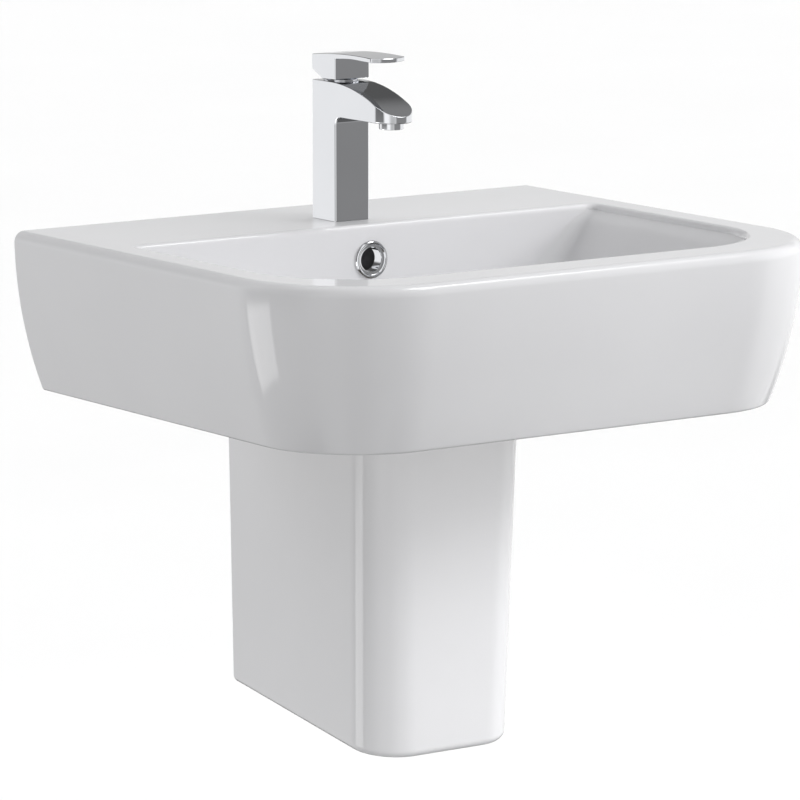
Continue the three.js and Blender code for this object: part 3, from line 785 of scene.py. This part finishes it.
def aerator_housing():
    """The ring that holds the aerator in the spout."""
    profile = [(9.4, 80.5), (9.8, 80.7), (10, 81.2), (10, 85.7), (8.6, 85.9), (8.6, 93), (7.4, 93)]
    profile += [(7.4, 81.4), (7.8, 80.8), (8.6, 80.5)]
    housing = lathe("aerator_housing", profile, (CHROME,), closed=True)
    lift(housing, 0, TAP_Y - SPOUT_REACH, RIM)
    return finish_piece(housing, "sink", "chrome", "aerator_housing")


def overflow_ring():
    """The overflow's ring in the bowl's back wall."""
    profile = [(11.7, -9), (11.7, 0.3), (15.1, 0.3), (15.4, 0.6), (15.4, 1.3), (15.1, 2.0), (14.5, 2.5)]
    profile += [(13.9, 2.6), (13.3, 2.3), (12.9, 1.6), (12.5, 1.2), (10.8, 0.9), (10.3, 0.6), (10.0, 0.1)]
    profile += [(10.0, -9)]
    ring = lathe("overflow_ring", profile, (CHROME,), 96, closed=True)
    on_wall(ring, 0, BOWL_BACK - BOWL_EDGE, RIM - OVERFLOW_H)
    return finish_piece(ring, "sink", "chrome", "overflow_ring")


def waste_plug():
    """The waste's plug: a stalk and a domed cap, shown open."""
    cap = [(0, -22), (3, -22), (3, 7.6), (28.6, 7.6), (29.6, 8.0), (30, 8.8), (29.6, 9.8), (28.4, 10.4)]
    dome_r, dome_h, foot, steps = 28, 2.0, 10.6, 12
    for i in range(1, steps):
        angle = QUARTER * i / steps
        cap.append((dome_r * math.cos(angle), foot + dome_h * math.sin(angle)))
    cap += [(0, foot + dome_h)]
    plug = lathe("waste_plug", cap, (CHROME,), 96)
    return finish_piece(in_bowl(plug), "plug", "chrome", "waste_plug")


# ---- turned pieces and nuts


def ring_section(outer, inner, z0, z1, ease=0.3):
    """A plain ring's section, its outer corners eased."""
    end = outer - ease
    return [(inner, z0), (end, z0), (outer, z0 + ease), (outer, z1 - ease), (end, z1), (inner, z1)]


def threaded(r, z0, z1):
    """A threaded rod's profile: chamfered ends with a groove at every pitch between them."""
    pitch, depth = 1.25, 0.6
    profile = [(0, z0), (r - 1, z0), (r, z0 + 1)]
    turns = int((z1 - z0 - 2) / pitch)
    for i in range(turns):
        z = z0 + 1 + pitch * i
        profile += [(r - depth, z + pitch * 0.5), (r, z + pitch)]
    return profile + [(r - 1, z1), (0, z1)]


def turned(name, slot, profile, place, body="sink", segments=64):
    """A turned piece that stands for the CAD node of its name; place moves it from its own Z axis."""
    closed = profile[0][0] > 0
    return hidden(place(lathe(name, profile, (SLOTS[slot],), segments, closed)), name, slot, body)


def hidden(obj, name, slot, body="sink"):
    """Finishes a piece under the basin, which no glossy surface mirrors."""
    obj.visible_glossy = False
    return finish_piece(obj, body, slot, name)


def faceted_nut(name, slot, outer, bore, z0, z1, sides=6):
    """A nut of several sides with chamfered corners, its axis along Z, not yet placed."""
    flats = arc(0, 0, outer, 0, TURN, sides)[:-1]
    nut = prism(name, flats, z0, z1, (SLOTS[slot],))
    end = outer - 1.0
    waist = outer + 0.2
    rise = 0.6
    limit = [(0, z0), (end, z0), (waist, z0 + rise), (waist, z1 - rise), (end, z1), (0, z1)]
    combine(nut, "INTERSECT", lathe("limit", limit))
    return combine(nut, "DIFFERENCE", rod("bore", bore, z0 - 1, z1 + 1, segments=64))


def at_wall(x, z):
    """The placing of a piece that points out from the wall at x and z."""
    return lambda obj: on_wall(obj, x, 0, z)


def in_bowl(obj):
    """Places a piece of the waste or trap, which are set out from the bowl's floor."""
    return lift(obj, 0, WASTE_Y, RIM - BOWL_DEPTH)


def towards_wall(obj):
    """Places a piece of the trap's outlet, which is set out from the trap along +Y."""
    obj.data.transform(Matrix.Rotation(-QUARTER, 4, "X"))
    return lift(obj, 0, WASTE_Y, RIM - BOWL_DEPTH + TRAP_AXIS)


# ---- wall fixings


def basin_fixing(side, x):
    """A wall bolt of the basin: stud, bush through the back plate, washer and nut."""
    place = at_wall(x, 0)
    plate = BACK_PLATE
    bush = [(6.7, 2), (6.7, plate + GAP), (13.6, plate + GAP), (14, plate + 0.7), (14, plate + 1.8)]
    bush += [(13.5, plate + 2.3), (5.3, plate + 2.3), (5.3, 2)]
    turned(f"basin_stud_{side}", "steel", threaded(5, 0.5, 62), place)
    turned(f"basin_bush_{side}", "white_plastic", bush, place)
    turned(f"basin_washer_{side}", "steel", ring_section(12, 5.3, plate + 2.6, plate + 4.6), place)
    nut = faceted_nut(f"basin_nut_{side}", "steel", 17 / math.sqrt(3), 5.3, plate + 4.9, plate + 13)
    hidden(place(nut), f"basin_nut_{side}", "steel")


def pedestal_fixing(side, x):
    """A wall bolt of the pedestal: stud, washer and nut on its lug."""
    place = at_wall(x, PEDESTAL_BOLT_Z)
    face = 14
    turned(f"pedestal_stud_{side}", "steel", threaded(4, 0.5, 40), place)
    turned(f"pedestal_washer_{side}", "steel", ring_section(8, 4.3, face + GAP, face + 1.9), place)
    nut = faceted_nut(f"pedestal_nut_{side}", "steel", 13 / math.sqrt(3), 4.3, face + 2.2, face + 8.7)
    hidden(place(nut), f"pedestal_nut_{side}", "steel")


# ---- waste and trap


def waste_body():
    """The waste's threaded tube: a flange, slots for the overflow and a bridge for the plug."""
    thread = [(20.5 if i % 2 else 19.9, -48 - i) for i in reversed(range(24))]
    section = [(18, -74), (20.1, -74), (20.5, -73.5)] + thread
    section += [(20.5, -3), (31.6, -3), (32, -2.6), (32, -1.4), (31.6, -0.6), (31, -0.1), (30.2, 0.1)]
    section += [(29.2, 0), (27.5, -1.2), (18, -1.4)]
    tube = lathe("waste_body", section, (CHROME,), 72, closed=True)
    slot_z = (-19, -12)
    across = block("slot", (-25, 25), (-6, 6), slot_z)
    along = block("slot", (-6, 6), (-25, 25), slot_z)
    combine(tube, "DIFFERENCE", across, along)
    bridge = combine(block("bridge", (-19, 19), (-3, 3), (-32, -26)), "UNION", rod("hub", 9.5, -32, -26))
    combine(bridge, "DIFFERENCE", rod("way", 7.3, -33, -25))
    combine(tube, "UNION", bridge)
    hidden(in_bowl(tube), "waste_body", "chrome")


def waste():
    """The waste under the bowl's floor: its body, plug mechanism, seals and back nut."""
    seat = BOWL_DEPTH - BOSS_H
    mechanism = [(0, -46), (6, -46), (7, -45), (7, -13), (6, -12), (3.4, -12), (3.4, -40), (0, -40)]
    waste_body()
    turned("waste_mechanism", "brass", mechanism, in_bowl)
    turned("waste_plug_seal", "rubber", ring_section(26, 22, 6, 7.3, 0.4), in_bowl, "plug")
    turned("waste_top_seal", "rubber", ring_section(31, 24, -4.7, -3.3), in_bowl)
    turned("waste_bottom_seal", "rubber", ring_section(31, 20.8, seat - 3.3, seat - GAP), in_bowl)
    nut = faceted_nut("waste_back_nut", "brass", 31, 20.8, seat - 12, seat - 3.6, 8)
    hidden(in_bowl(nut), "waste_back_nut", "brass")


def trap_nut(name, outer, thread, pipe, low, shoulder, high):
    """A grooved hand nut: a bore for the thread above its shoulder, and a way for the pipe below it."""
    profile = [(0, low), (outer - 2, low), (outer, low + 2), (outer, high - 1), (outer - 1, high)]
    nut = lathe(name, profile + [(0, high)], (CHROME,), 96)
    places = arc(0, 0, outer + 0.7, 0, TURN, 16)[:-1]
    grooves = [rod("groove", 1.6, low + 3, high + 1, place, segments=20) for place in places]
    way = rod("way", pipe + GAP, low - 1, high, segments=64)
    bore = rod("thread", thread + GAP, shoulder, high + 1, segments=64)
    return combine(nut, "DIFFERENCE", bore, way, *grooves)


def trap():
    """The bottle trap, from its inlet nut to its plate on the wall."""
    dip = [(13, -155), (15, -155), (15, -78.5), (19.8, -78.5), (19.8, -76), (13, -76)]
    inlet_nut = trap_nut("trap_inlet_nut", 25, 20.5, 15, -84, -78.8, -62)
    hidden(in_bowl(inlet_nut), "trap_inlet_nut", "chrome")
    turned("trap_inlet_seal", "rubber", ring_section(20, 15.5, -75.7, -74.3), in_bowl)
    turned("trap_dip_tube", "chrome", dip, in_bowl)
    trap_body()
    turned("trap_cup_seal", "rubber", ring_section(30.6, 28.3, -142.7, -140.3), in_bowl)
    turned("trap_cup", "chrome", cup_section(), in_bowl, segments=96)
    outlet_nut = trap_nut("trap_outlet_nut", 24, 19, 16, -58, -52, -40)
    outlet_nut.data.transform(Matrix.Rotation(math.pi, 4, "X"))
    hidden(towards_wall(outlet_nut), "trap_outlet_nut", "chrome")
    turned("trap_outlet_seal", "rubber", ring_section(18.8, 16.4, 49.3, 51.7), towards_wall)
    turned("trap_outlet_pipe", "chrome", ring_section(16, 14, 50, -WASTE_Y - 0.5, 0.5), towards_wall)
    rose = [(16.4, 184), (20, 184), (28, 184.4), (31, 185.4), (32.6, 187), (33, 188.4), (33, 189.5)]
    rose += [(16.4, 189.5)]
    turned("trap_wall_plate", "chrome", rose, towards_wall, segments=96)


def cup_section():
    """The trap's cup: a rounded bottom, and a thicker rim that screws under the trap's body."""
    edge = 9
    angles = [QUARTER * i / 8 for i in range(9)]
    rounded = [(22 + edge * math.sin(a), -181 - edge * math.cos(a)) for a in angles]
    rim = [(31, -157.5), (33.5, -157), (34, -156.5), (34, -143.6), (33.5, -143), (28, -143)]
    inside = [(28, -180), (25, -185), (21, -187), (0, -187)]
    return [(0, -190)] + rounded + rim + inside


def trap_body():
    """The trap's body: a shouldered bottle with a branch to the wall."""
    shell = [(0, -140), (30.5, -140), (31, -139.5), (31, -106), (30.6, -104.6), (29.6, -103.4)]
    shell += [(20, -97.6), (19, -96), (19, -86.5), (18.5, -86), (0, -86)]
    hollow = [(0, -141), (28, -141), (28, -106), (15.4, -99), (15.4, -85), (0, -85)]
    body = lathe("trap_body", shell, (CHROME,), 96)
    branch = rod_along_y("branch", 19, 0, TRAP_AXIS, 20, 49, (CHROME,), 64)
    way = rod_along_y("way", 16.4, 0, TRAP_AXIS, 19, 50, segments=64)
    combine(body, "UNION", branch)
    combine(body, "DIFFERENCE", lathe("hollow", hollow, (CHROME,), 96), way)
    hidden(in_bowl(body), "trap_body", "chrome")


# ---- supply valves and tails


def catmull_rom(points, t):
    """A point on the centripetal Catmull-Rom curve through the points, at t from 0 to 1."""
    last = len(points) - 1
    k = min(int(t * last), last - 1)
    inner = [points[max(0, min(last, k + i))] for i in (-1, 0, 1, 2)]
    if k == 0:
        inner[0] = 2 * points[0] - points[1]
    if k == last - 1:
        inner[3] = 2 * points[last] - points[last - 1]
    knots = [0.0]
    for a, b in zip(inner, inner[1:]):
        knots.append(knots[-1] + math.sqrt((b - a).length))
    u = knots[1] + (knots[2] - knots[1]) * (t * last - k)

    def blend(a, b, ka, kb):
        return a * ((kb - u) / (kb - ka)) + b * ((u - ka) / (kb - ka))

    firsts = [blend(inner[i], inner[i + 1], knots[i], knots[i + 1]) for i in range(3)]
    seconds = [blend(firsts[i], firsts[i + 1], knots[i], knots[i + 2]) for i in range(2)]
    return blend(seconds[0], seconds[1], knots[1], knots[2])


def tail(side, sign):
    """A bent copper tube from the tap's inlet down and back to its valve."""
    name = f"tail_{side}"
    route = [(TAIL_X, TAIL_Y, RIM + 13), (TAIL_X, TAIL_Y, 20), (8, TAP_Y - 3, -15), (14, -68, -65)]
    route += [(20.5, -47, -115), (24.5, -33, -155)]
    route += [(VALVE_X, -VALVE_REACH, -190), (VALVE_X, -VALVE_REACH, -221)]
    points = [Vector((sign * x, y, z)) for x, y, z in route]
    circle = arc(0, 0, 5, 0, TURN, 28)[:-1]
    steps = 90
    near = 0.3
    across = Vector((1, 0, 0))
    rings = []
    for i in range(steps + 1):
        here = catmull_rom(points, i / steps)
        before = catmull_rom(points, max(0, (i - near) / steps))
        after = catmull_rom(points, min(1, (i + near) / steps))
        along = (after - before).normalized()
        across = (across - along * across.dot(along)).normalized()
        other = along.cross(across)
        rings.append([tuple(here + across * a + other * b) for a, b in circle])
    hidden(loft(name, rings, (COPPER,)), name, "copper")


def upright(obj):
    """Turns a piece made along Z to the valve's outlet, which leaves its body upwards."""
    obj.data.transform(Matrix.Rotation(-QUARTER, 4, "X"))
    return lift(obj, 0, 0, VALVE_REACH)


def valve_body(name):
    """The valve's body along Z: a barrel with a short spindle at its end, and its outlet."""
    barrel = [(8.5, z) for z in (1, 17, 18.5, 37, 38.5, 40.5)]
    spindle = [(3.4, 41), (3.4, 43.6), (3, 44), (0, 44)]
    body = lathe(name, [(0, 0.5), (8, 0.5)] + barrel + [(8, 41)] + spindle, (CHROME,), 64)
    combine(body, "UNION", upright(rod("outlet", 7.5, 0, 22, segments=64)))
    ways = (rod("inlet_way", 5, 0, VALVE_REACH), upright(rod("outlet_way", 4.4, 0, 23)))
    return combine(body, "DIFFERENCE", *ways)


def valve_nut(name):
    """The nut that holds the copper tail on the valve's outlet."""
    nut = faceted_nut(name, "chrome", 19 / math.sqrt(3), 5.5, 14, 30)
    return upright(combine(nut, "DIFFERENCE", rod("thread", 7.8, 13, 22.3, segments=64)))


def valve_handle(name):
    """The valve's handle: a round hub with a bar across it."""
    hub = [(0, 41.3), (7.6, 41.3), (8, 41.7), (8, 51.4), (7.4, 52), (0, 52)]
    handle = lathe(name, hub, (CHROME,), 64)
    bar = arc(0, 11, 4, 0, math.pi, 16) + arc(0, -11, 4, math.pi, TURN, 16)
    combine(handle, "UNION", prism("grip", bar, 45, 52))
    return combine(handle, "DIFFERENCE", rod("socket", 3.7, 41, 44.3))


def valve(side, x):
    """An angle valve: it runs out of the wall and its outlet points up."""
    place = at_wall(x, VALVE_Z)
    rose = [(8.8, 0.5), (15, 0.5), (15, 1.4), (14.6, 2.2), (13.6, 3.2), (12, 4), (8.8, 4)]
    turned(f"valve_rosette_{side}", "chrome", rose, place)
    for build, part, body in (
        (valve_body, "body", "sink"),
        (valve_nut, "nut", "sink"),
        (valve_handle, "handle", f"handle_{side}"),
    ):
        name = f"valve_{part}_{side}"
        hidden(place(build(name)), name, "chrome", body)


# ---- carried-over pieces


def dress_cad_nodes():
    """Gives every CAD node that still shows its finish; no glossy surface mirrors it."""
    slots = {s["node"]: s["material_slot"] for s in frame["record"]["subparts"]}
    for name, obj in frame["nodes"].items():
        if obj.hide_render:
            continue
        finish = SLOTS[slots[name]]
        for holder in obj.material_slots:
            holder.material = finish
        obj.visible_glossy = False
        smooth(obj, weighted=False)


# ---- stage


def camera():
    """The photograph's viewing angle, worked out from the basin's edges; distances in metres."""
    azimuth = math.radians(-35.065)
    elevation = math.radians(9.558)
    distance = 4.2853
    target = Vector((-0.028, -0.210, -0.0651))
    level_x = math.sin(azimuth) * math.cos(elevation)
    level_y = -math.cos(azimuth) * math.cos(elevation)
    back = Vector((level_x, level_y, math.sin(elevation)))
    data = bpy.data.cameras.new("camera")
    data.sensor_width = 36
    data.lens = 240.53
    data.clip_end = 100
    made = bpy.data.objects.new("camera", data)
    made.location = target + back * distance
    made.rotation_euler = back.to_track_quat("Z", "Y").to_euler()
    bpy.context.scene.collection.objects.link(made)
    bpy.context.scene.camera = made


def clear_from_below(tree):
    """Lets a view from under the floor see the object."""
    side = node(tree, "NewGeometry").outputs["Backfacing"]
    seen = tree.nodes["Principled BSDF"].outputs[0]
    clear = node(tree, "BsdfTransparent").outputs[0]
    both = node(tree, "MixShader", {0: side, 1: seen, 2: clear})
    tree.links.new(both.outputs[0], tree.nodes["Material Output"].inputs["Surface"])


def floor():
    """A plain pale floor, the rim 850 mm above it, seen by the camera only."""
    half = 40000
    z = RIM - 850
    corners = [(-half, -half, z), (half, -half, z), (half, half, z), (-half, half, z)]
    dark, light = (0.94, 0.94, 0.94), (0.95, 0.95, 0.95)
    finish = material("floor", dark, light, (0.7, 0.8), 2, (0.05, 0.5))
    made = make("floor", corners, [(0, 1, 2, 3)], (finish,))
    made.data.flip_normals()
    made.visible_glossy = False
    made.visible_diffuse = False
    made.visible_shadow = False
    clear_from_below(made.data.materials[0].node_tree)


def step(tree, value, low, high):
    """0 below low, 1 above high, and smooth between."""
    limits = {"Value": value, "From Min": low, "From Max": high}
    return node(tree, "MapRange", limits, interpolation_type="SMOOTHSTEP").outputs["Result"]


def calculate(tree, operation, *values):
    """A sum in a Math node, of sockets and numbers."""
    made = node(tree, "Math", operation=operation)
    for socket, value in zip(made.inputs, values):
        if isinstance(value, bpy.types.NodeSocket):
            tree.links.new(value, socket)
        else:
            socket.default_value = value
    return made.outputs[0]


def inside(tree, value, low, high, soft):
    """1 where the value is between low and high, with soft edges."""
    rise = step(tree, value, low - soft, low + soft)
    fall = step(tree, value, high - soft, high + soft)
    return calculate(tree, "SUBTRACT", rise, fall)


def mix(tree, factor, low, high):
    """low where the factor is 0, high where it is 1."""
    spread = calculate(tree, "SUBTRACT", high, low)
    return calculate(tree, "MULTIPLY_ADD", factor, spread, low)


# Panels round the room: azimuths, elevations and softness in degrees, then brightness. Azimuth 0 is
# in front of the basin and 90 on its right. Where two overlap, the later one shows. Glossy rays
# see REFLECTED, and other rays GIVEN.
REFLECTED = (
    ((-180, 180), (-91, -38), 12, 0.80),
    ((-150, -60), (-85, -46), 6, 0.12),
    ((-180, -146), (14, 62), 6, 0.12),
    ((-136, -74), (-12, 60), 9, 0.12),
    ((-74, -42), (-91, 30), 9, 1.15),
    ((-42, -8), (-91, 30), 12, 0.60),
    ((-8, 58), (-35, 46), 6, 0.27),
    ((5, 125), (-85, -36), 8, 0.12),
    ((-134, -109), (-28, -12.5), 1.5, 3.2),
    ((138, 172), (-45, -4), 3, 0.03),
    ((112, 140), (-50, -16), 4, 0.15),
    ((112, 180), (2, 60), 2, 0.10),
    ((112, 175), (-1, 13.5), 2, 0.55),
    ((60, 112), (16, 50), 5, 0.45),
    ((95, 155), (42, 66), 6, 0.24),
    ((44, 88), (52, 68), 3, 7.0),
)
GIVEN = (
    ((-180, -120), (-30, 60), 6, 1.35),
    ((-120, 0), (-30, 0), 6, 1.45),
    ((-75, 0), (30, 60), 6, 0.9),
    ((0, 180), (-30, 0), 6, 0.7),
    ((0, 60), (0, 30), 6, 0.9),
    ((60, 180), (0, 30), 6, 1.85),
    ((0, 60), (30, 60), 6, 1.8),
    ((60, 180), (30, 60), 6, 2.2),
    ((-180, 180), (60, 91), 6, 0.45),
)


def room(tree, azimuth, elevation, brightness, panels):
    """The brightness seen in each direction: an even one, with each panel laid over it."""
    seam = 180
    beyond = 60  # azimuths meet at the seam, so a panel's edge there is moved out of reach
    for (left, right), (low, high), soft, panel_brightness in panels:
        if left == -seam:
            left -= beyond
        if right == seam:
            right += beyond
        across = inside(tree, azimuth, left, right, soft)
        mask = calculate(tree, "MULTIPLY", across, inside(tree, elevation, low, high, soft))
        brightness = mix(tree, mask, brightness, panel_brightness)
    return brightness


def studio():
    """Soft white panels all round; the camera itself sees plain white."""
    world = bpy.data.worlds.new("studio")
    bpy.context.scene.world = world
    world.use_nodes = True
    tree = world.node_tree
    direction = node(tree, "TexCoord").outputs["Generated"]
    split = node(tree, "SeparateXYZ", {0: direction})
    x, y, z = split.outputs
    front = calculate(tree, "MULTIPLY", y, -1.0)
    degrees = 180 / math.pi
    azimuth = calculate(tree, "MULTIPLY", calculate(tree, "ARCTAN2", x, front), degrees)
    elevation = calculate(tree, "MULTIPLY", calculate(tree, "ARCSINE", z), degrees)
    given = room(tree, azimuth, elevation, 0.04, GIVEN)
    reflected = room(tree, azimuth, elevation, 1.0, REFLECTED)
    rays = node(tree, "LightPath").outputs
    lit = mix(tree, rays["Is Glossy Ray"], given, reflected)
    seen = mix(tree, rays["Is Camera Ray"], lit, 1.0)
    background = tree.nodes["Background"]
    background.inputs["Color"].default_value = (1, 1, 1, 1)
    tree.links.new(seen, background.inputs["Strength"])


def softbox(name, place, aim, size, power, spread):
    """A square light at a place in metres, aimed at another; no glossy surface mirrors it."""
    data = bpy.data.lights.new(name, "AREA")
    data.shape = "SQUARE"
    data.size = size
    data.energy = power
    data.spread = math.radians(spread)
    made = bpy.data.objects.new(name, data)
    made.location = place
    made.rotation_euler = (Vector(place) - Vector(aim)).to_track_quat("Z", "Y").to_euler()
    made.visible_glossy = False
    bpy.context.scene.collection.objects.link(made)


def lights():
    """The key light from the front right, and a faint one on the pedestal."""
    softbox("key", (1.1, -1.15, 0.65), (0.15, -0.35, 0.0), 0.5, 7.4, 180)
    softbox("low", (0.15, -1.2, -0.45), (0.02, -0.25, -0.25), 0.3, 0.19, 40)


def view_settings():
    """Plain display colours, with no film look."""
    bpy.context.scene.view_settings.view_transform = "Standard"


basin()
semi_pedestal()
overflow_ring()
tap_body()
tap_lever()
tap_collar()
aerator_housing()
waste_plug()
waste()
trap()
for side, sign in (("left", -1), ("right", 1)):
    basin_fixing(side, sign * BOLT_X)
    pedestal_fixing(side, sign * PEDESTAL_BOLT_X)
    tail(side, sign)
    valve(side, sign * VALVE_X)
dress_cad_nodes()
camera()
floor()
studio()
lights()
view_settings()
